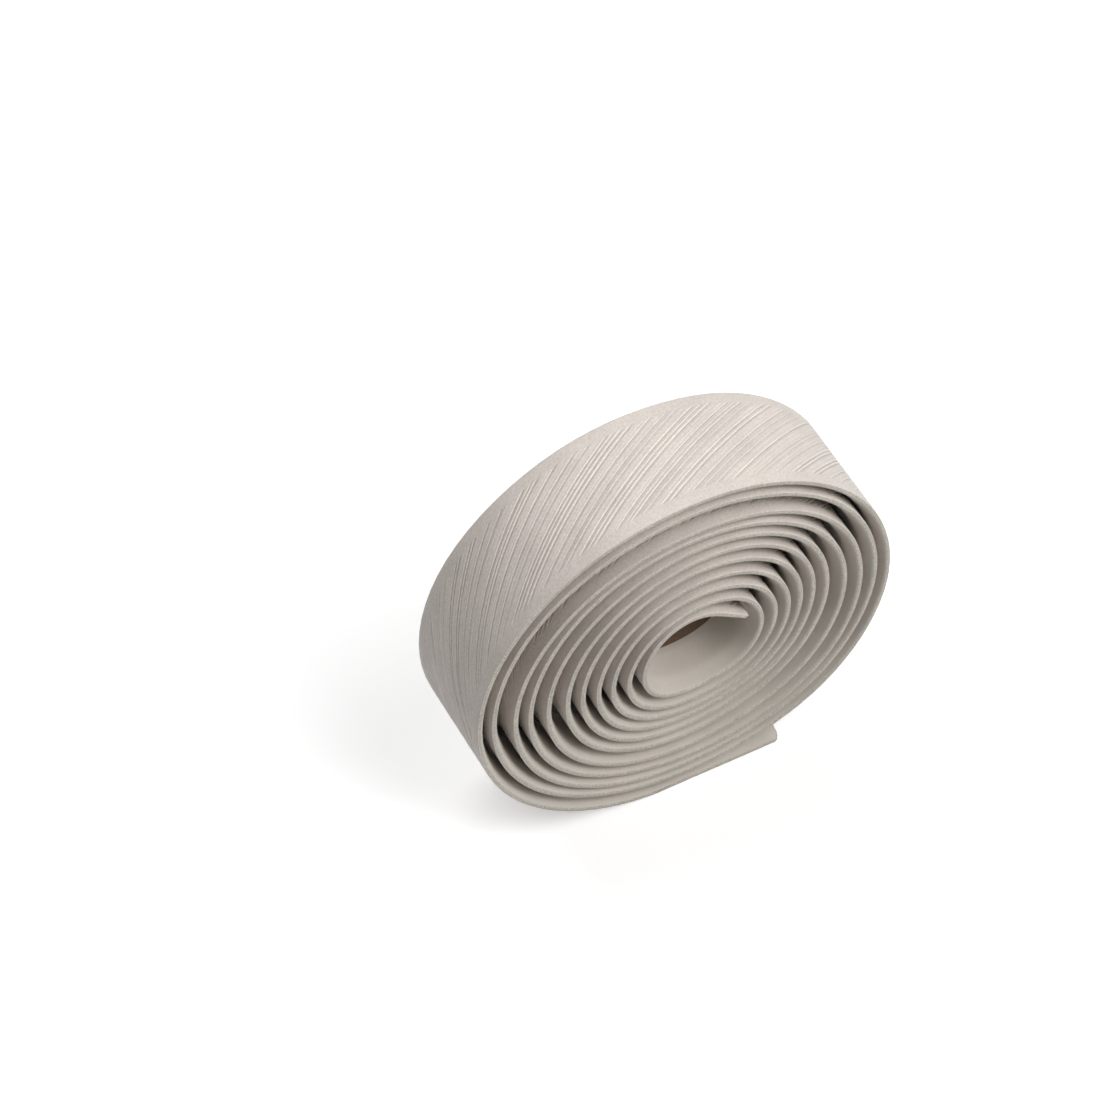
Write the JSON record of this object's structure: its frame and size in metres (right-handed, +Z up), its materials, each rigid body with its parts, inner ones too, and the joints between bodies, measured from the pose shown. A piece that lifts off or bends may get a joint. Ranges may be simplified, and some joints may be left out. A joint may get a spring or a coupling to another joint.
{
  "type": "handlebar tape roll",
  "caption": "Roll of padded handlebar tape: one long soft strip wound loosely round an open eye, with slanted embossed lines on its outer side and a loose tail.",
  "frame": {"origin": "on the floor, under the middle of the roll", "axes": "+Y is the roll's axis and points from its front face to its back face, +Z is up from the flat tail it stands on, +X runs across the face"},
  "size_m": [0.1102, 0.03, 0.1087],
  "materials": {
    "foam": "soft matte foam with a fine grain, pale warm grey"
  },
  "bodies": {
    "root": {"tape": "foam"}
  },
  "joints": []
}
